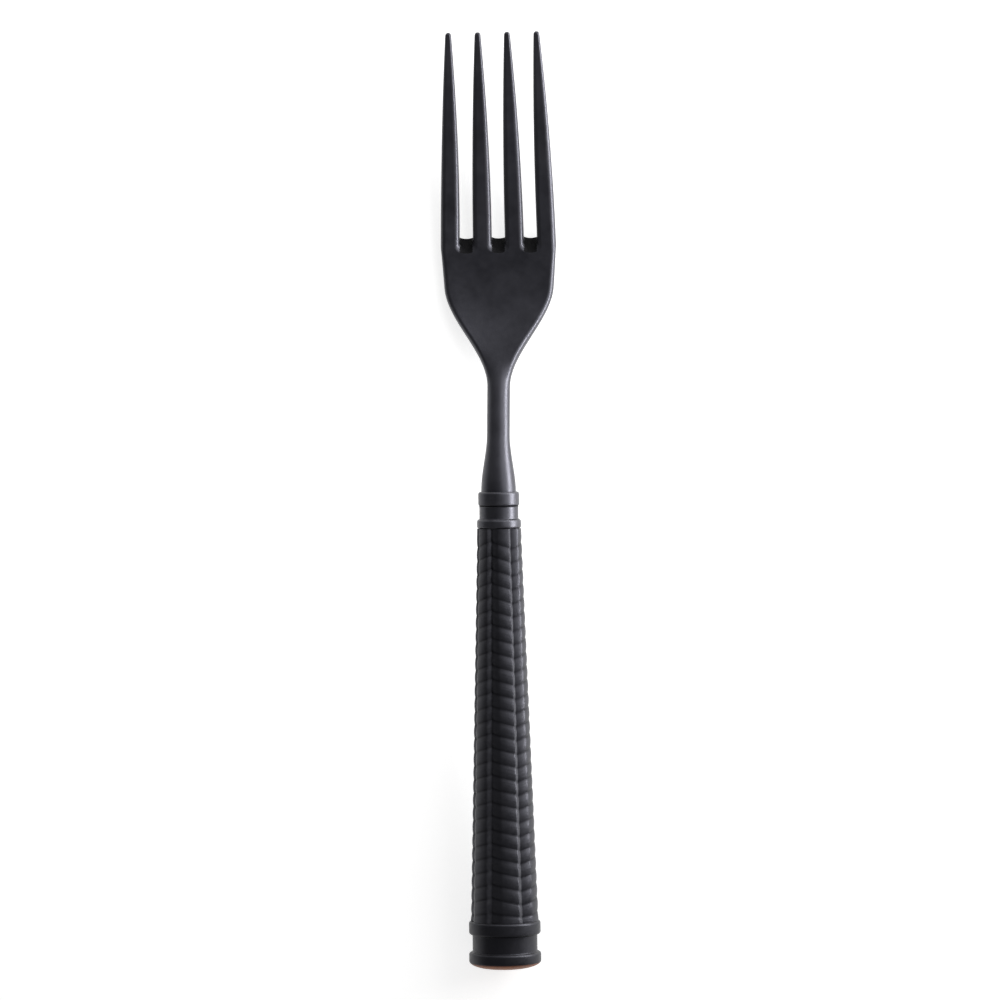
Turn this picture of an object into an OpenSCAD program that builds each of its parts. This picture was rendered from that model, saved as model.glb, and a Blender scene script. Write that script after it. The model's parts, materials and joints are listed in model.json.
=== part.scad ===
// Salad fork with four tines and a round handle covered with a plait relief.
// It lies face up along Y, tines toward +Y. The table is Z = 0, and the origin is the middle
// of the fork's outline on the table. All sizes are in millimetres.

/* [Overall] */
// length of the whole fork along the table
fork_length = 180; // [174:1:188]
// height of the handle axis over the table at the front of the collar
neck_height = 9.6; // [8.6:0.1:11.5]
// height of the middle of the tine tips over the table
tip_height = 12; // [9:0.5:14]

/* [Tines] */
// number of tines
tine_count = 4; // [3:1:5]
// length of the slots between the tines
tine_length = 41.8; // [38:0.2:44]
// width of one tine where it leaves the head
tine_width = 3.7; // [3.2:0.05:4.2]
// width of one tine at its tip
tip_width = 1.1; // [0.8:0.1:1.4]
// width of a slot at its inner end
slot_width = 2.55; // [1.8:0.05:2.8]
// how much further from the tips a slot ends at the face than at the back
slot_slope = 2.7; // [0.5:0.1:3]
// distance between the middles of neighbouring tips
tip_spacing = 5.65; // [5:0.05:6]
// thickness of a tine at its tip
tip_thickness = 1.1; // [0.9:0.1:1.6]
// how late the tines narrow: 1 is a straight taper
tine_taper = 2.2; // [1.2:0.1:2.6]
// how late the tines bend up: 1 is a straight rise, and 2 an even curve
tine_bend = 1.5; // [1.3:0.1:2.2]

/* [Head and neck] */
// thickness of the head
head_thickness = 2.2; // [1.8:0.1:2.8]
// length of the head's straight sides, behind the slots
head_straight = 6.9; // [5:0.1:9]
// how much each straight side comes in toward the shoulder
head_taper = 0.6; // [0:0.05:1.2]
// length over which the head narrows to the neck
shoulder_length = 19.1; // [16:0.1:21]
// how far behind the slots the head rests on the table, as a share of its straight sides
rest_share = 0.6; // [0.4:0.05:0.9]
// rise of the head's face at its sides over its middle, above a flat back
head_dish = 0.35; // [0:0.05:0.6]
// width of the neck at its narrowest
neck_width = 4.4; // [3.8:0.1:5]
// thickness of the neck at its narrowest
neck_thickness = 3.9; // [3:0.1:4.2]
// diameter of the neck where it seats on the collar
neck_root = 6.7; // [6:0.1:7]
// length over which the neck flares out to the collar
neck_flare = 11; // [7:0.5:13]
// radius of the rounded edges of the head and tines
edge_round = 0.95; // [0.6:0.05:1.1]

/* [Tang] */
// length of the tang behind the neck
tang_length = 55; // [40:1:62]
// width of the tang
tang_width = 4; // [3.4:0.1:4.2]
// thickness of the tang
tang_thickness = 2.4; // [2:0.1:2.6]

/* [Collar] */
// diameter of the front ring
front_ring_dia = 7.9; // [7.7:0.1:8.4]
// length of the front ring
front_ring_length = 2.8; // [1.6:0.1:3.4]
// diameter of the plain band behind the front ring
band_dia = 7.5; // [7:0.1:7.6]
// length of the plain band
band_length = 2.5; // [2:0.1:4]
// diameter of the flange that covers the end of the grip
flange_dia = 8.5; // [8.2:0.1:9]
// length of the flange
flange_length = 1.8; // [1.6:0.1:2.6]
// length of the collar's spigot in the grip
collar_spigot = 6; // [4:0.5:9]
// radius of the rounded edges of the collar's rings
ring_round = 0.5; // [0.3:0.05:0.7]

/* [Grip] */
// length of the grip
grip_length = 75.6; // [68:0.2:80]
// diameter over the strands at the front of the grip
grip_front_dia = 8.5; // [8.4:0.1:9.4]
// diameter over the strands at the back of the grip
grip_back_dia = 13.1; // [12:0.1:13.2]
// diameter of the bore that the tang is set in
grip_bore = 5.4; // [5.2:0.1:5.8]
// number of strand columns round the grip, which is even
strand_columns = 6; // [4:2:8]
// number of strand rows along the grip
strand_rows = 28; // [24:1:32]
// depth of the grooves between the columns
column_groove = 0.6; // [0.2:0.05:0.7]
// depth of the grooves between the rows
row_groove = 0.15; // [0.05:0.01:0.2]
// drop of a strand across its column, as a share of the row height
strand_slant = 0.58; // [0.3:0.02:0.6]
// turn of the pattern round the handle, in degrees
pattern_turn = -20; // [-30:1:30]

/* [End cap] */
// diameter of the ring next to the grip
cap_ring_dia = 13.8; // [13.4:0.1:14.2]
// length of the ring next to the grip
cap_ring_length = 2.6; // [1.8:0.1:3]
// diameter of the plain neck between the ring and the rim
cap_neck_dia = 12.5; // [11.8:0.1:12.8]
// length of the plain neck
cap_neck_length = 3.4; // [2.6:0.1:4]
// diameter of the rim at the end of the handle
cap_dia = 13.9; // [13.8:0.1:14.8]
// length of the rim with its rounded front edge
cap_rim_length = 1.7; // [1.4:0.1:2.6]
// height of the domed end
dome_height = 1.5; // [1.2:0.1:2.4]
// diameter of the flat in the middle of the domed end
dome_flat = 5; // [4:0.5:6]
// diameter of the cap's spigot in the grip
cap_spigot_dia = 7.6; // [6.5:0.1:8.4]
// length of the cap's spigot
cap_spigot_length = 8; // [5:0.5:12]

/* [Fits] */
// clearance all round between a spigot, the cement or the tang and its seat
seat_clearance = 0.05; // [0.03:0.01:0.1]

/* [Hidden] */
$fn = 64;
tip_y = fork_length / 2;
root_y = tip_y - tine_length;
full_y = root_y - head_straight;
neck_y = full_y - shoulder_length;
bowl_y = root_y - rest_share * head_straight;
bowl_z = head_thickness / 2;

// lengths along the handle axis, from the domed end forward
rim_start = dome_height;
cap_neck_start = rim_start + cap_rim_length;
ring_start = cap_neck_start + cap_neck_length;
grip_start = ring_start + cap_ring_length;
grip_end = grip_start + grip_length;
band_start = grip_end + flange_length;
front_start = band_start + band_length;
handle_length = front_start + front_ring_length;

// the handle leans so that the cap's rim touches the table at its end edge
lean_run = handle_length - rim_start;
lean_reach = sqrt(pow(cap_dia / 2, 2) + pow(lean_run, 2));
lean = asin(neck_height / lean_reach) - atan2(cap_dia / 2, lean_run);
handle_y = -fork_length / 2;
handle_z = neck_height - handle_length * sin(lean);
front_y = handle_y + handle_length * cos(lean);

// bores and spigots
bore_r = grip_bore / 2;
counterbore_r = cap_spigot_dia / 2 + seat_clearance;
counterbore_end = grip_start + cap_spigot_length + seat_clearance;
spigot_front_r = bore_r - seat_clearance;
tang_hole_r = norm([tang_width, tang_thickness]) / 2 + seat_clearance;
cement_front = grip_end - collar_spigot - seat_clearance;
tang_end = handle_length - tang_length;

// how far behind the neck's narrowest place the metal starts to thin and to flatten
thin_lead = 3;
flat_lead = 4;
// share of the shoulder over which the round neck becomes flat
flat_share = 0.7;
// share of the tines over which the head's dish and the slots' sloped ends fade out
fade_share = 0.5;
// largest edge radius as a share of a tine's half width
tine_round_share = 0.6;
tang_edge = 0.2;
// how far a cutting shape runs past the faces it opens
overcut = 1;

// points across one tine, and round one edge, of the head's mesh
across = 5;
edge_points = 3;
top_points = tine_count * (across - 1) + 1;
ring_points = 2 * (top_points + edge_points);
tine_points = 2 * (across + edge_points);
root_spacing = tine_width + slot_width;
head_half = (tine_count * tine_width + (tine_count - 1) * slot_width) / 2;
slot_half = slot_width / 2;

// steps of the meshes along the head, the neck and the tines
neck_steps = 18;
head_steps = 18;
tine_steps = 16;
slot_end_angles = [30, 60, 90];
tip_steps = [[0.4, 1], [0.12, 0.82], [0, 0.45]];
row_stops = [0, 0.2, 0.5, 0.8];
// shares of a column over which its left side rises and its right side falls
column_rise = 0.33;
column_fall = 0.16;
column_stops = [0, column_rise / 2, column_rise, (1 + column_rise - column_fall) / 2, 1 - column_fall];
// how square a row is in section
row_power = 2;
// lengths of the first and the last row as shares of the others
first_row = 1.2;
last_row = 0.6;

black_steel = [0.07, 0.07, 0.075];
black_resin = [0.05, 0.05, 0.055];
cement_grey = [0.55, 0.52, 0.47];

function ease(t) = let (c = min(1, max(0, t))) c * c * (3 - 2 * c);
function mix(a, b, t) = a + (b - a) * t;
function arc(x, y, r, from, to, steps = 6) =
    [for (i = [0 : steps]) let (a = mix(from, to, i / steps)) [x + r * cos(a), y + r * sin(a)]];

// height of the middle of the metal over the table, and its slope, along the fork
function neck_share(y) = (y - front_y) / (bowl_y - front_y);
function rise_share(y) = (y - bowl_y) / (tip_y - bowl_y);
function mid_z(y) = y > bowl_y
    ? mix(bowl_z, tip_height, pow(rise_share(y), tine_bend))
    : let (t = neck_share(y), span = bowl_y - front_y)
        mix(neck_height, bowl_z, ease(t)) + t * (1 - t) * (1 - t) * span * tan(lean);
function mid_slope(y) = y > bowl_y
    ? tine_bend * pow(rise_share(y), tine_bend - 1) * (tip_height - bowl_z) / (tip_y - bowl_y)
    : let (t = neck_share(y), span = bowl_y - front_y)
        6 * t * (1 - t) * (bowl_z - neck_height) / span + (1 - t) * (1 - 3 * t) * tan(lean);

// half width, half thickness and roundness of the neck and the head
function flare(y) = 1 - ease((y - front_y) / neck_flare);
// the shoulder's curve leaves the neck along it and meets the straight side at the side's own slope
side_slope = head_taper * shoulder_length / head_straight / (head_half - head_taper - neck_width / 2);
function spread(y) = let (t = min(1, max(0, (y - neck_y) / shoulder_length)))
    t * t * (3 - side_slope - (2 - side_slope) * t);
function head_side(y) = head_half - head_taper * min(1, (root_y - y) / head_straight);
function half_width(y) =
    mix(mix(neck_width, neck_root, flare(y)) / 2, head_side(y), spread(y));
function half_thick(y) =
    mix(mix(neck_thickness, neck_root, flare(y)), head_thickness,
        ease((y - neck_y + thin_lead) / shoulder_length)) / 2;
function roundness(y) = 1 - ease((y - neck_y + flat_lead) / (shoulder_length * flat_share));

// half thickness and width of a tine, u running from its root to its tip
function tine_half_thick(u) = mix(head_thickness, tip_thickness, u) / 2;
function tine_half_width(u) = mix(tine_width, tip_width, pow(u, tine_taper)) / 2;
function tine_mid(i, u) = (i - (tine_count - 1) / 2) * mix(root_spacing, tip_spacing, u);
function slot_mid(i, u) = (tine_mid(i, u) + tine_mid(i + 1, u)) / 2;

// where the top points of the head stand across its width at the slots' ends
function root_left(i) = i == 0 ? -head_half + edge_round : slot_mid(i - 1, 0);
function root_right(i) = i == tine_count - 1 ? head_half - edge_round : slot_mid(i, 0);
stand = [for (j = [0 : top_points - 1])
    let (i = min(tine_count - 1, floor(j / (across - 1))), k = j - i * (across - 1))
        mix(root_left(i), root_right(i), k / (across - 1)) / (head_half - edge_round)];

// a cross section as [across, up] pairs: top left to right, right edge, bottom, left edge
right_edge = [for (m = [1 : edge_points]) 90 - m * 180 / (edge_points + 1)];
left_edge = [for (m = [1 : edge_points]) 270 - m * 180 / (edge_points + 1)];
function flat_section(w, t, r) = concat(
    [for (q = stand) [q * (w - r), t]],
    [for (a = right_edge) [w - r + r * cos(a), t * sin(a)]],
    [for (j = [top_points - 1 : -1 : 0]) [stand[j] * (w - r), -t]],
    [for (a = left_edge) [r * cos(a) - w + r, t * sin(a)]]);
function round_section(w, t) = concat(
    [for (q = stand) [w * sin(60 * q), t * cos(60 * q)]],
    [for (m = [1 : edge_points]) let (a = 30 - m * 60 / (edge_points + 1)) [w * cos(a), t * sin(a)]],
    [for (j = [top_points - 1 : -1 : 0]) [w * sin(60 * stand[j]), -t * cos(60 * stand[j])]],
    [for (m = [1 : edge_points]) let (a = 210 - m * 60 / (edge_points + 1)) [w * cos(a), t * sin(a)]]);
// raises the sides of a section's face, and not its back
function dished(section, w, t, rise) =
    [for (p = section) [p[0], p[1] + rise * pow(p[0] / w, 2) * (1 + p[1] / t) / 2]];

// puts a cross section square to a line that starts at y, z and climbs at an angle
function placed(section, y, z, angle) =
    [for (p = section) [p[0], y - p[1] * sin(angle), z + p[1] * cos(angle)]];
// the same along the fork, with the lower points shifted forward by up to a lag
function along(section, y, t, lag) = [for (p = section)
    let (at = y + lag * (1 - p[1] / t) / 2, angle = atan(mid_slope(at)))
        [p[0], at - p[1] * sin(angle), mid_z(at) + p[1] * cos(angle)]];
function body_ring(y, lag = 0) = let (w = half_width(y), t = half_thick(y), b = roundness(y))
    let (section = (1 - b) * flat_section(w, t, edge_round) + b * round_section(w, t))
    along(dished(section, w, t, head_dish * (1 - b)), y, t, lag);
function axis_ring(section, s) = placed(section, handle_y + s * cos(lean), handle_z + s * sin(lean), lean);
tang_section = flat_section(tang_width / 2, tang_thickness / 2, tang_edge);

// one tine's cross section, d beyond the slot's end and scaled about its middle
function slot_open(d) = d < slot_half ? sqrt(1 - pow(1 - d / slot_half, 2)) : 1;
function tine_section(i, d, scale) =
    let (u = d / tine_length, c = tine_mid(i, u), open = slot_open(d))
    let (w = tine_half_width(u) * scale, t = tine_half_thick(u) * scale)
    let (round = min(edge_round, w * tine_round_share))
    let (left = i == 0 ? c - w : mix(slot_mid(i - 1, u), c - w, open))
    let (right = i == tine_count - 1 ? c + w : mix(slot_mid(i, u), c + w, open))
    let (rl = i == 0 ? round : round * open, rr = i == tine_count - 1 ? round : round * open)
    concat(
        [for (k = [0 : across - 1]) [mix(left + rl, right - rr, k / (across - 1)), t]],
        [for (a = right_edge) [right - rr + rr * cos(a), t * sin(a)]],
        [for (k = [across - 1 : -1 : 0]) [mix(left + rl, right - rr, k / (across - 1)), -t]],
        [for (a = left_edge) [left + rl + rl * cos(a), t * sin(a)]]);
function tine_ring(i, d, scale) =
    let (fade = 1 - ease(d / tine_length / fade_share), t = tine_half_thick(d / tine_length) * scale)
    along(dished(tine_section(i, d, scale), head_half, t, head_dish * fade), root_y + d, t, slot_slope * fade);

tine_stops = concat(
    [for (a = slot_end_angles) [slot_half * (1 - cos(a)), 1]],
    [for (n = [1 : tine_steps]) [mix(slot_half, tine_length - tip_steps[0][0], n / tine_steps), 1]],
    [for (n = [1 : len(tip_steps) - 1]) [tine_length - tip_steps[n][0], tip_steps[n][1]]]);
body_rings = concat(
    [axis_ring(tang_section, tang_end), axis_ring(tang_section, handle_length)],
    [for (n = [0 : neck_steps]) body_ring(mix(front_y, neck_y, n / neck_steps))],
    [for (n = [1 : head_steps]) body_ring(mix(neck_y, full_y, n / head_steps))],
    [body_ring(bowl_y), body_ring(root_y, slot_slope)]);

// the walls of the slots' ends, where two tines share their edge points
slot_lines = [for (i = [0 : tine_count - 2]) for (a = right_edge)
    let (t = half_thick(root_y))
    along(dished([[slot_mid(i, 0), t * sin(a)]], head_half, t, head_dish), root_y, t, slot_slope)[0]];

// point numbers: the body's rings, then the slots' walls, then the tines' rings
body_count = len(body_rings);
stop_count = len(tine_stops);
slot_base = body_count * ring_points;
tine_base = slot_base + len(slot_lines);
last_ring = (body_count - 1) * ring_points;
function ring_id(n, j) = n * ring_points + j % ring_points;
function slot_id(i, m) = slot_base + i * edge_points + m;
function root_id(i, k) =
    k < across ? last_ring + i * (across - 1) + k
    : k < across + edge_points
        ? (i == tine_count - 1 ? last_ring + top_points + k - across : slot_id(i, k - across))
    : k < 2 * across + edge_points
        ? last_ring + 2 * top_points + edge_points - 1 - i * (across - 1) - (2 * across + edge_points - 1 - k)
    : let (m = k - 2 * across - edge_points)
        (i == 0 ? last_ring + 2 * top_points + edge_points + m : slot_id(i - 1, edge_points - 1 - m));
function tine_id(i, n, k) = let (p = k % tine_points)
    n == 0 ? root_id(i, p) : tine_base + (i * stop_count + n - 1) * tine_points + p;
function pair(a, b, c, d) = [[a, b, c], [a, c, d]];

// closes a ring of points that has n points along its top
function closed(ids, n) = let (e = edge_points) concat(
    [for (j = [0 : n - 2])
        each pair(ids[j], ids[j + 1], ids[2 * n + e - 2 - j], ids[2 * n + e - 1 - j])],
    [for (m = [0 : e - 1]) [ids[n - 1], ids[n + m], ids[n + m + 1]]],
    [for (m = [0 : e - 1]) [ids[2 * n + e - 1 + m], ids[2 * n + e + m], ids[0]]]);
function turned(faces) = [for (f = faces) [f[2], f[1], f[0]]];

head_points = concat(
    [for (ring = body_rings) each ring],
    slot_lines,
    [for (i = [0 : tine_count - 1]) for (stop = tine_stops) each tine_ring(i, stop[0], stop[1])]);
head_faces = concat(
    closed([for (j = [0 : ring_points - 1]) ring_id(0, j)], top_points),
    [for (n = [0 : body_count - 2]) for (j = [0 : ring_points - 1])
        each pair(ring_id(n, j), ring_id(n + 1, j), ring_id(n + 1, j + 1), ring_id(n, j + 1))],
    [for (i = [0 : tine_count - 1]) for (n = [0 : stop_count - 1]) for (k = [0 : tine_points - 1])
        each pair(tine_id(i, n, k), tine_id(i, n + 1, k), tine_id(i, n + 1, k + 1), tine_id(i, n, k + 1))],
    [for (i = [0 : tine_count - 1])
        each turned(closed([for (k = [0 : tine_points - 1]) tine_id(i, stop_count, k)], across))]);

// the plait: strands slant down and up in turn in the columns round the grip
row_height = grip_length / (strand_rows - 1 + first_row + last_row);
column_angle = 360 / strand_columns;
row_places = concat(
    [1 - first_row],
    [for (stop = row_stops) if (stop >= 0.5) stop],
    [for (n = [1 : strand_rows - 1]) for (stop = row_stops) n + stop],
    [for (stop = row_stops) if (stop < last_row) strand_rows + stop],
    [strand_rows + last_row]);
function in_column(a) = a - floor(a);
function zigzag(a) = let (f = in_column(a / 2)) 1 - 4 * min(f, 1 - f);
function end_fade(s) = min(1, (grip_end - s) / row_height, (s - grip_start) / row_height);
function column_drop(a) = let (f = in_column(a))
    column_groove * max(0, 1 - f / column_rise, 1 - (1 - f) / column_fall);
function row_drop(v) = v < 0.5 ? 0 : row_groove * pow(abs(2 * in_column(v) - 1), row_power);
function grip_r(s) = mix(grip_back_dia, grip_front_dia, (s - grip_start) / grip_length) / 2;
function strand_point(v, a) =
    let (s = grip_end - (v - 1 + first_row) * row_height)
    let (r = grip_r(s) - column_drop(a) - row_drop(v), angle = pattern_turn + a * column_angle)
    [r * sin(angle), r * cos(angle), s + zigzag(a) * strand_slant * row_height / 2 * end_fade(s)];
around = strand_columns * len(column_stops);
grip_points = [for (v = row_places) for (c = [0 : strand_columns - 1]) for (stop = column_stops)
    strand_point(v, c + stop)];
grip_rows = len(row_places);
function grip_id(n, k) = n * around + k % around;
grip_faces = concat(
    [[for (k = [0 : around - 1]) grip_id(0, k)]],
    [for (n = [0 : grip_rows - 2]) for (k = [0 : around - 1])
        each pair(grip_id(n, k), grip_id(n + 1, k), grip_id(n + 1, k + 1), grip_id(n, k + 1))],
    [[for (k = [around - 1 : -1 : 0]) grip_id(grip_rows - 1, k)]]);

// stands a shape made along +Z on the handle's axis, its +Y side facing up
module on_handle() {
    translate([0, handle_y, handle_z]) rotate([lean - 90, 0, 0]) mirror([0, 1, 0]) children();
}

module fork_head() {
    color(black_steel) polyhedron(points = head_points, faces = head_faces, convexity = 8);
}

module front_collar() {
    flange_r = flange_dia / 2;
    front_r = front_ring_dia / 2;
    r = ring_round;
    color(black_steel) on_handle() rotate_extrude() polygon(concat(
        [[tang_hole_r, cement_front + seat_clearance], [spigot_front_r, cement_front + seat_clearance],
            [spigot_front_r, grip_end]],
        arc(flange_r - r, grip_end + r, r, -90, 0),
        arc(flange_r - r, band_start - r, r, 0, 90),
        [[band_dia / 2, band_start]],
        [[band_dia / 2, front_start]],
        arc(front_r - r, front_start + r, r, -90, 0),
        arc(front_r - r, handle_length - r, r, 0, 90),
        [[tang_hole_r, handle_length]]));
}

module grip_sleeve() {
    color(black_resin) on_handle() difference() {
        polyhedron(points = grip_points, faces = grip_faces, convexity = 6);
        translate([0, 0, grip_start - overcut]) cylinder(r = bore_r, h = grip_length + 2 * overcut);
        translate([0, 0, grip_start - overcut])
            cylinder(r = counterbore_r, h = counterbore_end - grip_start + overcut);
    }
}

module tang_cement() {
    gap = seat_clearance;
    color(cement_grey) on_handle() difference() {
        translate([0, 0, counterbore_end]) cylinder(r = bore_r - gap, h = cement_front - counterbore_end);
        translate([-tang_width / 2 - gap, -tang_thickness / 2 - gap, tang_end - gap])
            cube([tang_width + 2 * gap, tang_thickness + 2 * gap, tang_length]);
    }
}

module end_cap() {
    rim_r = cap_dia / 2;
    ring_r = cap_ring_dia / 2;
    r = ring_round;
    color(black_resin) on_handle() rotate_extrude() polygon(concat(
        [[0, 0], [dome_flat / 2, 0]],
        [for (a = [10 : 10 : 90]) [mix(dome_flat / 2, rim_r, sin(a)), rim_start * (1 - cos(a))]],
        arc(rim_r - r, cap_neck_start - r, r, 0, 90),
        [[cap_neck_dia / 2, cap_neck_start], [cap_neck_dia / 2, ring_start]],
        arc(ring_r - r, ring_start + r, r, -90, 0),
        arc(ring_r - r, grip_start - r, r, 0, 90),
        [[cap_spigot_dia / 2, grip_start], [cap_spigot_dia / 2, grip_start + cap_spigot_length],
            [0, grip_start + cap_spigot_length]]));
}

fork_head();
front_collar();
grip_sleeve();
tang_cement();
end_cap();
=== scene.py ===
# Looks of a black salad fork with a plait-patterned handle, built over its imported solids.
import json
import math

import bmesh
import bpy
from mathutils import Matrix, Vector


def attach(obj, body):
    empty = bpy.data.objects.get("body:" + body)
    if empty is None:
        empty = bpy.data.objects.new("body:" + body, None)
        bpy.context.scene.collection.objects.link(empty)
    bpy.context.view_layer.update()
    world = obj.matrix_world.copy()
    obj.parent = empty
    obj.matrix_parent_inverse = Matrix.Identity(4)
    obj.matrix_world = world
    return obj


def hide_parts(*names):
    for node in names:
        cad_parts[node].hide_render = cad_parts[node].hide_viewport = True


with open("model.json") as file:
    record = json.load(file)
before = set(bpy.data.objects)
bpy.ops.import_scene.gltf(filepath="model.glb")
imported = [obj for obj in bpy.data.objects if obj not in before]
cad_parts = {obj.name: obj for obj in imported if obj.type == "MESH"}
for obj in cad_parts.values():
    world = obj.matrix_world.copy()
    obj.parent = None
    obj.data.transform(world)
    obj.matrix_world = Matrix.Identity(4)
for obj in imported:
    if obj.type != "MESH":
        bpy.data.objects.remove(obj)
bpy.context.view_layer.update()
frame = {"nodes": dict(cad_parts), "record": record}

MM = 0.001

# Sizes of the head and neck, in millimetres; counts, shares and powers have no unit
TIP_Y = 90.0
TIP_HEIGHT = 12.0
NECK_HEIGHT = 9.6
TINES = 4
TINE_LENGTH = 41.8
TINE_WIDTH = 3.7
TIP_WIDTH = 1.1
TIP_THICKNESS = 1.1
TIP_SPACING = 5.65
TAPER_POWER = 2.2
BEND_POWER = 1.5
SLOT_WIDTH = 2.55
SLOT_SLOPE = 2.7
HEAD_THICKNESS = 2.2
HEAD_STRAIGHT = 6.9
HEAD_TAPER = 0.6
HEAD_DISH = 0.35
SHOULDER_LENGTH = 19.1
REST_SHARE = 0.6
NECK_WIDTH = 4.4
NECK_THICKNESS = 3.9
NECK_ROOT = 6.7
NECK_FLARE = 11.0
EDGE_ROUND = 0.95
THIN_LEAD = 3.0
FLAT_LEAD = 4.0
FLAT_SHARE = 0.7
FADE_SHARE = 0.5
TINE_ROUND_SHARE = 0.6
NECK_SEAT = 0.3

# Sizes of the handle, in millimetres
DOME_HEIGHT = 1.5
DOME_FLAT = 5.0
CAP_DIA = 13.9
CAP_RIM_LENGTH = 1.7
CAP_NECK_DIA = 12.5
CAP_NECK_LENGTH = 3.4
CAP_RING_DIA = 13.8
CAP_RING_LENGTH = 2.6
GRIP_LENGTH = 75.6
GRIP_FRONT_DIA = 8.5
GRIP_BACK_DIA = 13.1
FLANGE_DIA = 8.5
FLANGE_LENGTH = 1.8
BAND_DIA = 7.5
BAND_LENGTH = 2.5
FRONT_RING_DIA = 7.9
FRONT_RING_LENGTH = 2.8
RING_ROUND = 0.5
CORNER_ROUND = 0.2
SEAT_STEP = 0.8
CORE_R = 0.5

# The plait: grooves in millimetres, its turn in degrees, counts, a power, and shares of a column or row
STRAND_COLUMNS = 6
STRAND_ROWS = 28
STRAND_SLANT = 0.58
COLUMN_GROOVE = 0.6
COLUMN_RISE = 0.33
COLUMN_FALL = 0.16
ROW_GROOVE = 0.15
ROW_POWER = 2
FIRST_ROW = 1.2
LAST_ROW = 0.6
PATTERN_TURN = -20.0

# Marks for the plait's material: how narrow the painted shade in its row gaps is, and how worn its crowns
SHADE_GAP_POWER = 4
CROWN_WEAR = 0.12

# Steps of the meshes
ACROSS = 17
EDGE_STEPS = 9
NECK_STEPS = 70
HEAD_STEPS = 90
SIDE_STEPS = 24
TINE_STEPS = 110
SLOT_END_STEPS = 10
TIP_STEPS = 6
COLUMN_STEPS = 32
ROW_STEPS = 16
LATHE_STEPS = 160
ARC_STEPS = 10
DOME_STEPS = 24

# Angles of the meshes, in degrees: a round section's top on each side, a tip's end, and sharp edges
TOP_SPREAD = 60.0
TIP_SWEEP = 84.0
HEAD_SHARP = 50.0
LATHE_SHARP = 40.0
GRIP_SHARP = 30.0

# Points closer than this, in millimetres, become one
WELD = 0.0005

# What counts as a slot's end wall: a share of the slot's width, and limits of the wall's direction
SLOT_END_SHARE = 0.99
SLOT_END_FORWARD = 0.2
SLOT_END_UPWARD = 0.98

# Tones of the satin coats, with their range of roughness and index of refraction
STEEL = {
    "low": (0.0035, 0.0035, 0.005),
    "high": (0.0125, 0.0125, 0.0155),
    "worn_and_lit": (0.02, 0.02, 0.023),
    "rough": (0.34, 0.42),
    "ior": 1.58,
}
# The plait's light tone paints a highlight down its steep walls as well as scuffing on its crowns
PLAIT_RESIN = {
    "low": (0.003, 0.003, 0.004),
    "high": (0.0055, 0.0055, 0.007),
    "worn_and_lit": (0.05, 0.05, 0.057),
    "rough": (0.38, 0.47),
    "ior": 1.46,
}
CAP_RESIN = {
    "low": (0.003, 0.003, 0.004),
    "high": (0.0055, 0.0055, 0.007),
    "worn_and_lit": (0.008, 0.008, 0.0098),
    "rough": (0.38, 0.47),
    "ior": 1.4,
}
COOL_TINT = (0.86, 0.86, 1.0, 1.0)

# The brown end of the cap: its tones, and where it starts and is full, as shares of the dome's height
WARM_LOW = (0.29, 0.105, 0.05)
WARM_HIGH = (0.42, 0.165, 0.08)
WARM_START = 0.85
WARM_FULL = 0.6

# Gloss of the satin coats in the open, and the lower gloss that paints shade in their row gaps and under
# their rings
OPEN_GLOSS = 0.5
SHADE_GLOSS = 0.15

# How the satin coats' fine grain is drawn out along x, y and z
DRAWN = (1, 0.08, 1)
TURNED = (0.04, 1, 0.04)
EVEN = (1, 1, 1)

# Patterns of the satin coats: noise scale and detail, and bump depth in metres and strength
TONE_NOISE = (190, 4)
CLOUD_NOISE = (900, 3)
CLOUD_BUMP = (0.00003, 0.2)
FINE_NOISE = (5200, 2)
FINE_BUMP = (0.00001, 0.3)
FIBRE_SCALE = 7.0
FIBRE_DETAIL = 3.0
FIBRE_BUMP = (0.00006, 0.35)

# Painted shade on the slots' end walls: a darker, duller coat
SLOT_SHADE_LOW = (0.002, 0.002, 0.0025)
SLOT_SHADE_HIGH = (0.004, 0.004, 0.005)
SLOT_ROUGH = (0.55, 0.75)
SLOT_SHADE_GLOSS = 0.1
SLOT_NOISE = (2500, 3)
SLOT_BUMP = (0.00003, 0.3)

# The cement
CEMENT_LOW = (0.42, 0.39, 0.34)
CEMENT_HIGH = (0.62, 0.59, 0.53)
CEMENT_ROUGH = (0.8, 0.95)
CEMENT_NOISE = (1800, 5)
CEMENT_BUMP = (0.0002, 0.5)

# Values of a noise between which a tone or a roughness runs
TONE_START = 0.35
TONE_END = 0.65
ROUGH_START = 0.3
ROUGH_END = 0.7

# The floor, its side in metres
WHITE = (1, 1, 1, 1)
FLOOR_SIZE = 20.0
FLOOR_LIFT = 0.7
FLOOR_LOW = (0.63, 0.63, 0.63)
FLOOR_HIGH = (0.65, 0.65, 0.65)
FLOOR_ROUGH = 0.9
FLOOR_NOISE = (40, 3)

# The room: strengths, and directions as parts of a unit vector
WORLD_DARK = 0.133
WORLD_LIGHT = 0.4
WORLD_DARK_SIDE = 0.12
WORLD_LIGHT_SIDE = 0.6
BAND_FULL = 0.06
BAND_END = 0.12

# The camera, above and a little to the right of the fork; its distance in metres, angles in degrees
IMAGE_SIDE_MM = 193.05
CAMERA_DISTANCE = 0.9
CAMERA_ROLL = 4.0
IMAGE_TURN = 0.7
SENSOR_MM = 36.0
AIM = Vector((0.0, 0.235, 6.0)) * MM

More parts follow.
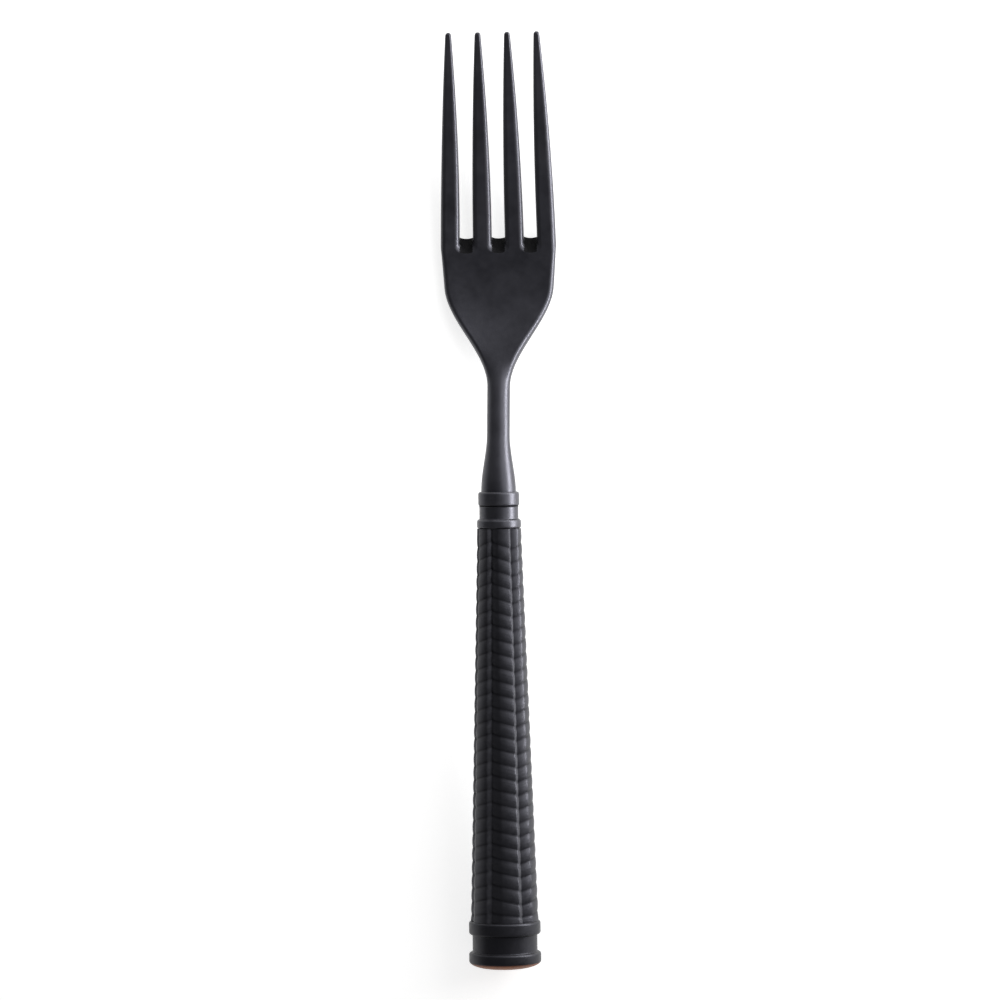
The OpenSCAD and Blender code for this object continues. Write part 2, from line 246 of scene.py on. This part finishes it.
# Places along the fork, in millimetres, worked out from the sizes
ROOT_Y = TIP_Y - TINE_LENGTH
FULL_Y = ROOT_Y - HEAD_STRAIGHT
NECK_Y = FULL_Y - SHOULDER_LENGTH
BOWL_Y = ROOT_Y - REST_SHARE * HEAD_STRAIGHT
BOWL_Z = HEAD_THICKNESS / 2
ROOT_SPACING = TINE_WIDTH + SLOT_WIDTH
HEAD_HALF = (TINES * TINE_WIDTH + (TINES - 1) * SLOT_WIDTH) / 2
SLOT_HALF = SLOT_WIDTH / 2
SHOULDER_HALF = HEAD_HALF - HEAD_TAPER
SIDE_SLOPE = HEAD_TAPER * SHOULDER_LENGTH / HEAD_STRAIGHT / (SHOULDER_HALF - NECK_WIDTH / 2)

# Places along the handle's axis, in millimetres from the domed end
CAP_NECK_START = DOME_HEIGHT + CAP_RIM_LENGTH
RING_START = CAP_NECK_START + CAP_NECK_LENGTH
GRIP_START = RING_START + CAP_RING_LENGTH
GRIP_END = GRIP_START + GRIP_LENGTH
BAND_START = GRIP_END + FLANGE_LENGTH
FRONT_START = BAND_START + BAND_LENGTH
HANDLE_LENGTH = FRONT_START + FRONT_RING_LENGTH
ROW_COUNT = STRAND_ROWS - 1 + FIRST_ROW + LAST_ROW
ROW_HEIGHT = GRIP_LENGTH / ROW_COUNT

# The handle's axis, from the rim that the record states as a mount
rim_mount = next(m for m in frame["record"]["mounts"] if m["name"] == "handle_end")
axis_forward = -Vector(rim_mount["axis"])
axis_up = Vector((0, -axis_forward.z, axis_forward.y))
axis_right = Vector((1, 0, 0))
FRONT_Y = -TIP_Y + HANDLE_LENGTH * axis_forward.y
LEAN_SLOPE = axis_forward.z / axis_forward.y
axis_front = Vector((0, FRONT_Y, NECK_HEIGHT))


def mix(a, b, t):
    return a + (b - a) * t


def ease(t):
    """A soft step from 0 to 1."""
    t = min(1.0, max(0.0, t))
    return t * t * (3 - 2 * t)


def arc(x, y, radius, start, end, wear_and_highlight=0.0):
    """Points of a circle's arc, the angles in degrees, each with its wear."""
    points = []
    for n in range(ARC_STEPS + 1):
        a = math.radians(mix(start, end, n / ARC_STEPS))
        points.append((x + radius * math.cos(a), y + radius * math.sin(a), wear_and_highlight))
    return points


# Meshes

def finish_mesh(name, vertices, faces, marks, node, sharp_degrees):
    """Makes a smooth closed mesh from points in millimetres and puts it in the node's place."""
    mesh = bpy.data.meshes.new(name)
    mesh.from_pydata([Vector(v) * MM for v in vertices], [], faces)
    for mark_name, values in marks.items():
        mesh.attributes.new(mark_name, "FLOAT", "POINT").data.foreach_set("value", values)
    work = bmesh.new()
    work.from_mesh(mesh)
    bmesh.ops.remove_doubles(work, verts=work.verts, dist=WELD * MM)
    bmesh.ops.recalc_face_normals(work, faces=work.faces)
    work.to_mesh(mesh)
    work.free()
    mesh.polygons.foreach_set("use_smooth", [True] * len(mesh.polygons))
    mesh.set_sharp_from_angle(angle=math.radians(sharp_degrees))
    piece = bpy.data.objects.new(name, mesh)
    bpy.context.scene.collection.objects.link(piece)
    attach(piece, "root")
    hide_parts(node)
    return piece


def joined_rings(rings, first=0, close_start=False, close_end=False):
    """Quads between neighbouring rings of the same number of points."""
    count = len(rings[0])
    faces = []
    for n in range(len(rings) - 1):
        low = first + n * count
        for k in range(count):
            nxt = (k + 1) % count
            faces.append((low + k, low + nxt, low + count + nxt, low + count + k))
    if close_start:
        faces.append(tuple(range(first, first + count)))
    if close_end:
        last = first + (len(rings) - 1) * count
        faces.append(tuple(range(last, last + count)))
    return faces


# The head: its middle line seen from the side

def neck_share(y):
    return (y - FRONT_Y) / (BOWL_Y - FRONT_Y)


def rise_share(y):
    return (y - BOWL_Y) / (TIP_Y - BOWL_Y)


def mid_z(y):
    """Height of the middle line."""
    if y > BOWL_Y:
        return mix(BOWL_Z, TIP_HEIGHT, rise_share(y) ** BEND_POWER)
    t = neck_share(y)
    return mix(NECK_HEIGHT, BOWL_Z, ease(t)) + t * (1 - t) ** 2 * (BOWL_Y - FRONT_Y) * LEAN_SLOPE


def mid_slope(y):
    """Slope of the middle line; behind the neck's root it is the handle's."""
    if y > BOWL_Y:
        rise = (TIP_HEIGHT - BOWL_Z) / (TIP_Y - BOWL_Y)
        return BEND_POWER * rise_share(y) ** (BEND_POWER - 1) * rise
    t = neck_share(y)
    if t < 0:
        return LEAN_SLOPE
    fall = 6 * t * (1 - t) * (BOWL_Z - NECK_HEIGHT) / (BOWL_Y - FRONT_Y)
    return fall + (1 - t) * (1 - 3 * t) * LEAN_SLOPE


# The head: its widths and thicknesses

def flare(y):
    """1 at the neck's root and 0 where the neck is slim."""
    return 1 - ease((y - FRONT_Y) / NECK_FLARE)


def half_width(y):
    neck = mix(NECK_WIDTH, NECK_ROOT, flare(y)) / 2
    side = HEAD_HALF - HEAD_TAPER * min(1.0, (ROOT_Y - y) / HEAD_STRAIGHT)
    t = min(1.0, max(0.0, (y - NECK_Y) / SHOULDER_LENGTH))
    return mix(neck, side, t * t * (3 - SIDE_SLOPE - (2 - SIDE_SLOPE) * t))


def half_thick(y):
    neck = mix(NECK_THICKNESS, NECK_ROOT, flare(y))
    return mix(neck, HEAD_THICKNESS, ease((y - NECK_Y + THIN_LEAD) / SHOULDER_LENGTH)) / 2


def roundness(y):
    """1 where the cross section is an ellipse and 0 where it is a flat bar."""
    return 1 - ease((y - NECK_Y + FLAT_LEAD) / (SHOULDER_LENGTH * FLAT_SHARE))


def tine_half_width(u):
    return mix(TINE_WIDTH, TIP_WIDTH, u ** TAPER_POWER) / 2


def tine_half_thick(u):
    return mix(HEAD_THICKNESS, TIP_THICKNESS, u) / 2


def tine_mid(i, u):
    return (i - (TINES - 1) / 2) * mix(ROOT_SPACING, TIP_SPACING, u)


def slot_mid(i, u):
    return (tine_mid(i, u) + tine_mid(i + 1, u)) / 2


def slot_open(d):
    """How far a slot has opened at a distance from its round end, from 0 to 1."""
    if d >= SLOT_HALF:
        return 1.0
    return math.sqrt(max(0.0, 1 - (1 - d / SLOT_HALF) ** 2))


def stands():
    """Where the head's top points stand across its width, as shares of its flat half width."""
    flat = HEAD_HALF - EDGE_ROUND
    shares = []
    for i in range(TINES):
        left = -flat if i == 0 else slot_mid(i - 1, 0)
        right = flat if i == TINES - 1 else slot_mid(i, 0)
        for k in range(ACROSS - 1):
            shares.append(mix(left, right, k / (ACROSS - 1)) / flat)
    return shares + [1.0]


STANDS = stands()
EDGE_SHARES = [m / (EDGE_STEPS + 1) for m in range(1, EDGE_STEPS + 1)]
RIGHT_EDGE = [math.radians(mix(90, -90, share)) for share in EDGE_SHARES]


def plate_section(xs, right, right_round, left, left_round, t):
    """A flat bar with rounded edges: top left to right, right edge, bottom, left edge."""
    right_mid = right - right_round
    left_mid = left + left_round
    top = [(x, t) for x in xs]
    right_side = [(right_mid + right_round * math.cos(a), t * math.sin(a)) for a in RIGHT_EDGE]
    bottom = [(x, -t) for x in reversed(xs)]
    left_side = [(left_mid - left_round * math.cos(a), -t * math.sin(a)) for a in RIGHT_EDGE]
    return top + right_side + bottom + left_side


def round_section(w, t):
    """An ellipse whose points match those of a flat bar."""
    side_spread = 90 - TOP_SPREAD
    top_angles = [math.radians(90 - TOP_SPREAD * q) for q in STANDS]
    side_angles = [math.radians(mix(side_spread, -side_spread, share)) for share in EDGE_SHARES]
    top = [(w * math.cos(a), t * math.sin(a)) for a in top_angles]
    right_side = [(w * math.cos(a), t * math.sin(a)) for a in side_angles]
    bottom = [(x, -h) for x, h in reversed(top)]
    left_side = [(-x, -h) for x, h in right_side]
    return top + right_side + bottom + left_side


def along_fork(section, y, t, lag, dish, width):
    """Stands a cross section on the middle line, its lower points up to a lag further forward."""
    points = []
    for x, h in section:
        at = y + lag * (1 - h / t) / 2
        h += dish * (x / width) ** 2 * (1 + h / t) / 2
        angle = math.atan(mid_slope(at))
        points.append((x, at - h * math.sin(angle), mid_z(at) + h * math.cos(angle)))
    return points


def body_ring(y, lag=0.0):
    w = half_width(y)
    t = half_thick(y)
    b = roundness(y)
    edge = w - EDGE_ROUND
    flat = plate_section([q * edge for q in STANDS], w, EDGE_ROUND, -w, EDGE_ROUND, t)
    section = [(mix(f[0], r[0], b), mix(f[1], r[1], b)) for f, r in zip(flat, round_section(w, t))]
    return along_fork(section, y, t, lag, HEAD_DISH * (1 - b), w)


def tine_ring(i, d, scale):
    u = d / TINE_LENGTH
    w = tine_half_width(u) * scale
    t = tine_half_thick(u) * scale
    c = tine_mid(i, u)
    opened = slot_open(d)
    soft = min(EDGE_ROUND, w * TINE_ROUND_SHARE)
    soft = mix(EDGE_ROUND, soft, ease(d / SLOT_WIDTH))
    left = c - w if i == 0 else mix(slot_mid(i - 1, u), c - w, opened)
    right = c + w if i == TINES - 1 else mix(slot_mid(i, u), c + w, opened)
    left_round = soft if i == 0 else soft * opened
    right_round = soft if i == TINES - 1 else soft * opened
    xs = [mix(left + left_round, right - right_round, k / (ACROSS - 1)) for k in range(ACROSS)]
    section = plate_section(xs, right, right_round, left, left_round, t)
    fade = 1 - ease(u / FADE_SHARE)
    return along_fork(section, ROOT_Y + d, t, SLOT_SLOPE * fade, HEAD_DISH * fade, HEAD_HALF)


def tine_stops():
    """Places along a tine, and its scale there: close together at the slot's end and the tip."""
    stops = []
    for n in range(SLOT_END_STEPS + 1):
        a = math.radians(90 * n / SLOT_END_STEPS)
        stops.append((SLOT_HALF * (1 - math.cos(a)), 1.0))
    tip_round = TIP_WIDTH / 2
    for n in range(1, TINE_STEPS + 1):
        stops.append((mix(SLOT_HALF, TINE_LENGTH - tip_round, n / TINE_STEPS), 1.0))
    for n in range(1, TIP_STEPS + 1):
        a = math.radians(TIP_SWEEP * n / TIP_STEPS)
        stops.append((TINE_LENGTH - tip_round * (1 - math.sin(a)), math.cos(a)))
    return stops


def edge_wear(top_count):
    """The wear round a cross section: none on its flat sides and most at the middle of its edges."""
    edge = [math.cos(a) for a in RIGHT_EDGE]
    flat = [0.0] * top_count
    return flat + edge + flat + edge


def in_slot_end(face):
    """Says whether a face of the head is on the sloped wall where a slot ends."""
    place = face.center / MM
    beside = min(abs(place.x - slot_mid(i, 0)) for i in range(TINES - 1))
    near = ROOT_Y - SLOT_SLOPE < place.y < ROOT_Y + SLOT_SLOPE + SLOT_HALF
    inside = beside < SLOT_HALF * SLOT_END_SHARE
    wall = face.normal.y > SLOT_END_FORWARD and abs(face.normal.z) < SLOT_END_UPWARD
    return near and inside and wall


def make_fork_head(coat, slot_shade):
    stations = [FRONT_Y - NECK_SEAT]
    stations += [mix(FRONT_Y, NECK_Y, n / NECK_STEPS) for n in range(NECK_STEPS + 1)]
    stations += [mix(NECK_Y, FULL_Y, n / HEAD_STEPS) for n in range(1, HEAD_STEPS + 1)]
    stations += [mix(FULL_Y, ROOT_Y, n / SIDE_STEPS) for n in range(1, SIDE_STEPS + 1)]
    rings = [body_ring(y, SLOT_SLOPE * ease((y - FULL_Y) / HEAD_STRAIGHT)) for y in stations]
    vertices = [p for ring in rings for p in ring]
    wear_and_highlight = [w * (1 - roundness(y)) for y in stations for w in edge_wear(len(STANDS))]
    faces = joined_rings(rings, close_start=True)
    for i in range(TINES):
        rings = [tine_ring(i, d, scale) for d, scale in tine_stops()]
        faces += joined_rings(rings, first=len(vertices), close_end=True)
        vertices += [p for ring in rings for p in ring]
        wear_and_highlight += edge_wear(ACROSS) * len(rings)
    marks = {"wear_and_highlight": wear_and_highlight}
    head = finish_mesh("fork_head_forging", vertices, faces, marks, "fork_head", HEAD_SHARP)
    head.data.materials.append(coat)
    head.data.materials.append(slot_shade)
    # The faces of the slots' end walls get the painted shade
    for face in head.data.polygons:
        face.material_index = 1 if in_slot_end(face) else 0


# The handle

def on_axis(s, radius, angle):
    """A point round the handle's axis, s from its domed end; the angle is from the top to the right."""
    place = axis_front + (s - HANDLE_LENGTH) * axis_forward
    return place + radius * (math.sin(angle) * axis_right + math.cos(angle) * axis_up)


def undersides(profile):
    """How far each point of a profile faces the handle's end, from 0 to 1."""
    faces = []
    for (r0, s0, _), (r1, s1, _) in zip(profile, profile[1:]):
        length = math.hypot(r1 - r0, s1 - s0)
        faces.append(max(0.0, (r1 - r0) / length) if length else 0.0)
    return [faces[0]] + [(a + b) / 2 for a, b in zip(faces, faces[1:])] + [faces[-1]]


def lathe(name, profile, node, material):
    """Turns a profile of radius, place along the axis and wear round the handle's axis."""
    turns = [2 * math.pi * k / LATHE_STEPS for k in range(LATHE_STEPS)]
    rings = [[on_axis(s, radius, a) for a in turns] for radius, s, _ in profile]
    vertices = [p for ring in rings for p in ring]
    marks = {
        "wear_and_highlight": [wear_and_highlight for _, _, wear_and_highlight in profile for _ in turns],
        "reach": [s for _, s, _ in profile for _ in turns],
        # Lower gloss on the surfaces that face the handle's end paints shade under the rings
        "gap": [share for share in undersides(profile) for _ in turns],
    }
    faces = joined_rings(rings, close_start=True, close_end=True)
    piece = finish_mesh(name, vertices, faces, marks, node, LATHE_SHARP)
    piece.data.materials.append(material)


def make_front_collar(coat):
    flange = FLANGE_DIA / 2
    front = FRONT_RING_DIA / 2
    band = BAND_DIA / 2
    seat = band - SEAT_STEP
    seat_end = GRIP_END - SEAT_STEP
    r = RING_ROUND
    c = CORNER_ROUND
    profile = [(CORE_R, seat_end, 0), (seat, seat_end, 0), (seat, GRIP_END, 0)]
    profile += arc(flange - r, GRIP_END + r, r, -90, 0, 1)
    profile += arc(flange - r, BAND_START - r, r, 0, 90, 1)
    profile += arc(band + c, BAND_START + c, c, 270, 180)
    profile += arc(band + c, FRONT_START - c, c, 180, 90)
    profile += arc(front - r, FRONT_START + r, r, -90, 0, 1)
    profile += arc(front - r, HANDLE_LENGTH - r, r, 0, 90, 1)
    profile += [(CORE_R, HANDLE_LENGTH, 0)]
    lathe("collar_rings", profile, "front_collar", coat)


def make_end_cap(coat):
    rim = CAP_DIA / 2
    ring = CAP_RING_DIA / 2
    neck = CAP_NECK_DIA / 2
    seat = neck - SEAT_STEP
    seat_end = GRIP_START + SEAT_STEP
    r = RING_ROUND
    c = CORNER_ROUND
    profile = [(CORE_R, 0, 0)]
    for n in range(DOME_STEPS + 1):
        a = math.radians(90 * n / DOME_STEPS)
        profile.append((mix(DOME_FLAT / 2, rim, math.sin(a)), DOME_HEIGHT * (1 - math.cos(a)), 0))
    profile += arc(rim - r, CAP_NECK_START - r, r, 0, 90, 1)
    profile += arc(neck + c, CAP_NECK_START + c, c, 270, 180)
    profile += arc(neck + c, RING_START - c, c, 180, 90)
    profile += arc(ring - r, RING_START + r, r, -90, 0, 1)
    profile += arc(ring - r, GRIP_START - r, r, 0, 90, 1)
    profile += [(seat, GRIP_START, 0), (seat, seat_end, 0), (CORE_R, seat_end, 0)]
    lathe("cap_turning", profile, "end_cap", coat)


def zigzag(a):
    """Runs straight between 1 and -1 from each column's edge to the next."""
    share = (a / 2) % 1.0
    return 1 - 4 * min(share, 1 - share)


def end_fade(s):
    """Straightens the rows toward the grip's two ends."""
    return min(1.0, (GRIP_END - s) / ROW_HEIGHT, (s - GRIP_START) / ROW_HEIGHT)


def row_edge(v):
    """0 in the middle of a row and 1 at its edges; the first row has no front edge."""
    return 0.0 if v < 0.5 else abs(2 * (v % 1.0) - 1)


def strand_drop(a, v):
    """How deep the relief is at a place in its column and row: nothing on the crest of a strand."""
    across = a % 1.0
    column = COLUMN_GROOVE * max(0.0, 1 - across / COLUMN_RISE, 1 - (1 - across) / COLUMN_FALL)
    return column + ROW_GROOVE * row_edge(v) ** ROW_POWER


def strand_wear_and_highlight(a, drop):
    """How light a place in its column is drawn: a little real scuffing on the crowns, and most halfway
    down the steep wall, which is a painted highlight.
    """
    wall = max(0.0, 1 - (1 - a % 1) / COLUMN_FALL)
    crown = 1 - drop / (COLUMN_GROOVE + ROW_GROOVE)
    return CROWN_WEAR * crown + 4 * wall * (1 - wall)


def make_grip_sleeve(coat):
    row_count = round(ROW_COUNT * ROW_STEPS)
    around = STRAND_COLUMNS * COLUMN_STEPS
    rings = []
    wear_and_highlight = []
    strand = []
    gap = []
    for n in range(row_count + 1):
        s = mix(GRIP_START, GRIP_END, n / row_count)
        v = (GRIP_END - s) / ROW_HEIGHT + 1 - FIRST_ROW
        crest = mix(GRIP_BACK_DIA, GRIP_FRONT_DIA, n / row_count) / 2
        ring = []
        for k in range(around):
            a = k / COLUMN_STEPS
            drop = strand_drop(a, v)
            along = s + zigzag(a) * STRAND_SLANT * ROW_HEIGHT / 2 * end_fade(s)
            angle = math.radians(PATTERN_TURN + a * 360 / STRAND_COLUMNS)
            ring.append(on_axis(along, crest - drop, angle))
            # Lighter on the crowns for scuffing, and halfway down the steep wall for a painted highlight
            wear_and_highlight.append(strand_wear_and_highlight(a, drop))
            strand.append(v)
            # Lower gloss at the row edges paints shade in the gaps between strands
            gap.append(row_edge(v) ** SHADE_GAP_POWER)
        rings.append(ring)
    vertices = [p for ring in rings for p in ring]
    faces = joined_rings(rings, close_start=True, close_end=True)
    marks = {"wear_and_highlight": wear_and_highlight, "strand": strand, "gap": gap}
    grip = finish_mesh("grip_plait", vertices, faces, marks, "grip_sleeve", GRIP_SHARP)
    grip.data.materials.append(coat)


# Materials

def new_material(name):
    material = bpy.data.materials.new(name)
    material.use_nodes = True
    nodes = material.node_tree.nodes
    return material, nodes, material.node_tree.links, nodes["Principled BSDF"]


def noise(nodes, links, scale, detail, stretch=EVEN):
    """A noise in the object's own space, in metres; stretch draws it out into grain."""
    place = nodes.new("ShaderNodeTexCoord")
    shape = nodes.new("ShaderNodeMapping")
    shape.inputs["Scale"].default_value = stretch
    pattern = nodes.new("ShaderNodeTexNoise")
    pattern.inputs["Scale"].default_value = scale
    pattern.inputs["Detail"].default_value = detail
    links.new(place.outputs["Object"], shape.inputs["Vector"])
    links.new(shape.outputs["Vector"], pattern.inputs["Vector"])
    return pattern.outputs["Fac"]


def tone_between(nodes, links, value, low, high):
    """A colour that runs from low to high with a noise."""
    node = nodes.new("ShaderNodeValToRGB")
    node.color_ramp.elements[0].position = TONE_START
    node.color_ramp.elements[0].color = (*low, 1)
    node.color_ramp.elements[1].position = TONE_END
    node.color_ramp.elements[1].color = (*high, 1)
    links.new(value, node.inputs["Fac"])
    return node.outputs["Color"]


def span(nodes, links, value, start, end, low=0.0, high=1.0):
    """A number that runs from low to high as value goes from start to end."""
    node = nodes.new("ShaderNodeMapRange")
    node.inputs["From Min"].default_value = start
    node.inputs["From Max"].default_value = end
    node.inputs["To Min"].default_value = low
    node.inputs["To Max"].default_value = high
    links.new(value, node.inputs["Value"])
    return node.outputs["Result"]


def bump(nodes, links, value, depth, strength, below=None):
    node = nodes.new("ShaderNodeBump")
    node.inputs["Distance"].default_value = depth
    node.inputs["Strength"].default_value = strength
    links.new(value, node.inputs["Height"])
    if below is not None:
        links.new(below, node.inputs["Normal"])
    return node.outputs["Normal"]


def mark(nodes, name):
    """A mark that the mesh carries at its points."""
    node = nodes.new("ShaderNodeAttribute")
    node.attribute_name = name
    return node.outputs["Fac"]


def blend(nodes, links, factor, low, high):
    """Mixes two colours, each a socket or a plain colour, by a factor that varies over the surface."""
    node = nodes.new("ShaderNodeMix")
    node.data_type = "RGBA"
    links.new(factor, node.inputs["Factor"])
    for name, colour in (("A", low), ("B", high)):
        socket = next(i for i in node.inputs if i.name == name and i.type == "RGBA")
        if isinstance(colour, tuple):
            socket.default_value = (*colour, 1)
        else:
            links.new(colour, socket)
    return next(o for o in node.outputs if o.type == "RGBA")


def math_node(nodes, links, operation, first, second):
    """One sum on a varying value; the second one may be a plain number."""
    node = nodes.new("ShaderNodeMath")
    node.operation = operation
    links.new(first, node.inputs[0])
    if isinstance(second, (int, float)):
        node.inputs[1].default_value = second
    else:
        links.new(second, node.inputs[1])
    return node.outputs[0]


def brown_end(nodes, links, colour, cloud):
    """Turns a colour brown toward the domed end."""
    reach = mark(nodes, "reach")
    share = span(nodes, links, reach, WARM_START * DOME_HEIGHT, WARM_FULL * DOME_HEIGHT)
    return blend(nodes, links, share, colour, tone_between(nodes, links, cloud, WARM_LOW, WARM_HIGH))


def fibre_lines(nodes, links, below):
    """Adds the bump of fine lines that run along the strands."""
    lines = nodes.new("ShaderNodeTexNoise")
    lines.noise_dimensions = "1D"
    lines.inputs["Scale"].default_value = FIBRE_SCALE
    lines.inputs["Detail"].default_value = FIBRE_DETAIL
    links.new(mark(nodes, "strand"), lines.inputs["W"])
    return bump(nodes, links, lines.outputs["Fac"], *FIBRE_BUMP, below)


def satin_black(name, grain, low, high, worn_and_lit, rough, ior, fibre=False, warm_end=False, dull_gaps=True):
    """A black satin coat: mottled tone, lighter scuffed edges, a painted highlight down the plait's steep
    walls, lower gloss that paints shade in gaps, uneven gloss and a fine grain.
    """
    material, nodes, links, shader = new_material(name)
    shader.inputs["IOR"].default_value = ior
    shader.inputs["Specular Tint"].default_value = COOL_TINT
    tone = noise(nodes, links, *TONE_NOISE)
    cloud = noise(nodes, links, *CLOUD_NOISE)
    fine = noise(nodes, links, *FINE_NOISE, grain)
    # The light tone paints a highlight halfway down the plait's steep walls, besides real scuffing on
    # edges and crowns
    rubbed_and_lit = math_node(nodes, links, "MULTIPLY", mark(nodes, "wear_and_highlight"), cloud)
    colour = blend(nodes, links, rubbed_and_lit, tone_between(nodes, links, tone, low, high), worn_and_lit)
    if warm_end:
        colour = brown_end(nodes, links, colour, cloud)
    links.new(colour, shader.inputs["Base Color"])
    links.new(span(nodes, links, cloud, ROUGH_START, ROUGH_END, *rough), shader.inputs["Roughness"])
    normal = bump(nodes, links, cloud, *CLOUD_BUMP)
    normal = bump(nodes, links, fine, *FINE_BUMP, normal)
    if fibre:
        normal = fibre_lines(nodes, links, normal)
    links.new(normal, shader.inputs["Normal"])
    # Lower gloss paints shade in the plait's row gaps and under the turned rings
    if dull_gaps:
        gloss = span(nodes, links, mark(nodes, "gap"), 0, 1, OPEN_GLOSS, SHADE_GLOSS)
        links.new(gloss, shader.inputs["Specular IOR Level"])
    return material


def grainy(name, pattern, low, high, rough, relief):
    """A dull grainy surface with one noise for its tone, roughness and bump."""
    material, nodes, links, shader = new_material(name)
    grain = noise(nodes, links, *pattern)
    links.new(tone_between(nodes, links, grain, low, high), shader.inputs["Base Color"])
    links.new(span(nodes, links, grain, ROUGH_START, ROUGH_END, *rough), shader.inputs["Roughness"])
    links.new(bump(nodes, links, grain, *relief), shader.inputs["Normal"])
    return material, shader


def slot_shade_material():
    """A darker, duller coat on the walls where the slots end, which paints the shade there."""
    material, shader = grainy("black_slot_painted_shade", SLOT_NOISE, SLOT_SHADE_LOW, SLOT_SHADE_HIGH, SLOT_ROUGH, SLOT_BUMP)
    shader.inputs["Specular IOR Level"].default_value = SLOT_SHADE_GLOSS
    return material


def cement_material():
    return grainy("set_cement", CEMENT_NOISE, CEMENT_LOW, CEMENT_HIGH, CEMENT_ROUGH, CEMENT_BUMP)[0]


# Stage

def seen_rays(nodes, links):
    """1 for what the camera sees, directly, mirrored or through glass, and 0 for plain light."""
    path = nodes.new("ShaderNodeLightPath")
    seen = math_node(nodes, links, "ADD", path.outputs["Is Camera Ray"], path.outputs["Is Glossy Ray"])
    seen = math_node(nodes, links, "ADD", seen, path.outputs["Is Transmission Ray"])
    return math_node(nodes, links, "MINIMUM", seen, 1)


def floor_material():
    """A pale floor that the camera and reflections see lighter than it is lit, so that it stays white."""
    material, nodes, links, shader = new_material("pale_floor")
    speck = noise(nodes, links, *FLOOR_NOISE)
    links.new(tone_between(nodes, links, speck, FLOOR_LOW, FLOOR_HIGH), shader.inputs["Base Color"])
    shader.inputs["Roughness"].default_value = FLOOR_ROUGH
    shader.inputs["Specular IOR Level"].default_value = 0.0
    shader.inputs["Emission Color"].default_value = WHITE
    lift = math_node(nodes, links, "MULTIPLY", seen_rays(nodes, links), FLOOR_LIFT)
    links.new(lift, shader.inputs["Emission Strength"])
    return material


def make_floor():
    mesh = bpy.data.meshes.new("floor")
    h = FLOOR_SIZE / 2
    mesh.from_pydata([(-h, -h, 0), (h, -h, 0), (h, h, 0), (-h, h, 0)], [], [(0, 1, 2, 3)])
    floor = bpy.data.objects.new("floor", mesh)
    bpy.context.scene.collection.objects.link(floor)
    mesh.materials.append(floor_material())


def make_world():
    """A dim room, lighter past the two ends of the fork, with a band over the horizon seen as white."""
    world = bpy.data.worlds.new("studio")
    world.use_nodes = True
    bpy.context.scene.world = world
    nodes = world.node_tree.nodes
    links = world.node_tree.links
    background = nodes["Background"]
    background.inputs["Color"].default_value = WHITE
    place = nodes.new("ShaderNodeTexCoord")
    parts = nodes.new("ShaderNodeSeparateXYZ")
    links.new(place.outputs["Generated"], parts.inputs[0])
    offset = math_node(nodes, links, "ADD", parts.outputs["Y"], WORLD_DARK_SIDE)
    away = math_node(nodes, links, "ABSOLUTE", offset, 0)
    room = span(nodes, links, away, 0, WORLD_LIGHT_SIDE, WORLD_DARK, WORLD_LIGHT)
    band = span(nodes, links, parts.outputs["Z"], BAND_END, BAND_FULL)
    white = math_node(nodes, links, "MULTIPLY", band, seen_rays(nodes, links))
    strength = math_node(nodes, links, "MAXIMUM", room, white)
    links.new(strength, background.inputs["Strength"])


def softbox(name, place, aim, size, watts):
    """A soft rectangular lamp that faces a place on the table; its place and sizes are in metres."""
    lamp = bpy.data.lights.new(name, "AREA")
    lamp.shape = "RECTANGLE"
    lamp.size, lamp.size_y = size
    lamp.energy = watts
    box = bpy.data.objects.new(name, lamp)
    box.location = place
    box.rotation_euler = (Vector(aim) - box.location).to_track_quat("-Z", "Y").to_euler()
    bpy.context.scene.collection.objects.link(box)


def make_lights():
    softbox("low_softbox", place=(0.13, 0.06, 0.024), aim=(0, 0.06, 0), size=(0.24, 0.044), watts=0.67)
    softbox("high_softbox", place=(0.22, 0.16, 0.25), aim=(0, 0.1, 0), size=(0.36, 0.2), watts=0.47)
    softbox("tip_softbox", place=(0.1, 0.8, 0.3), aim=(0, 0, 0), size=(0.8, 0.4), watts=2.4)


def make_camera():
    data = bpy.data.cameras.new("photo_view")
    data.sensor_width = SENSOR_MM
    data.lens = SENSOR_MM * CAMERA_DISTANCE / (IMAGE_SIDE_MM * MM)
    camera = bpy.data.objects.new("photo_view", data)
    roll = math.radians(CAMERA_ROLL)
    back = Vector((math.sin(roll), 0, math.cos(roll)))
    camera.location = AIM + back * CAMERA_DISTANCE
    camera.rotation_euler = (0, roll, 0)
    camera.rotation_euler.rotate_axis("Z", math.radians(-IMAGE_TURN))
    bpy.context.scene.collection.objects.link(camera)
    bpy.context.scene.camera = camera


make_fork_head(satin_black("black_satin_steel", DRAWN, dull_gaps=False, **STEEL), slot_shade_material())
make_front_collar(satin_black("black_turned_steel", TURNED, **STEEL))
make_grip_sleeve(satin_black("black_plait_resin", EVEN, fibre=True, **PLAIT_RESIN))
make_end_cap(satin_black("black_turned_resin", TURNED, warm_end=True, **CAP_RESIN))

cement = frame["nodes"]["tang_cement"]
cement.data.materials.clear()
cement.data.materials.append(cement_material())

make_floor()
make_world()
make_lights()
make_camera()
bpy.context.scene.view_settings.view_transform = "Standard"
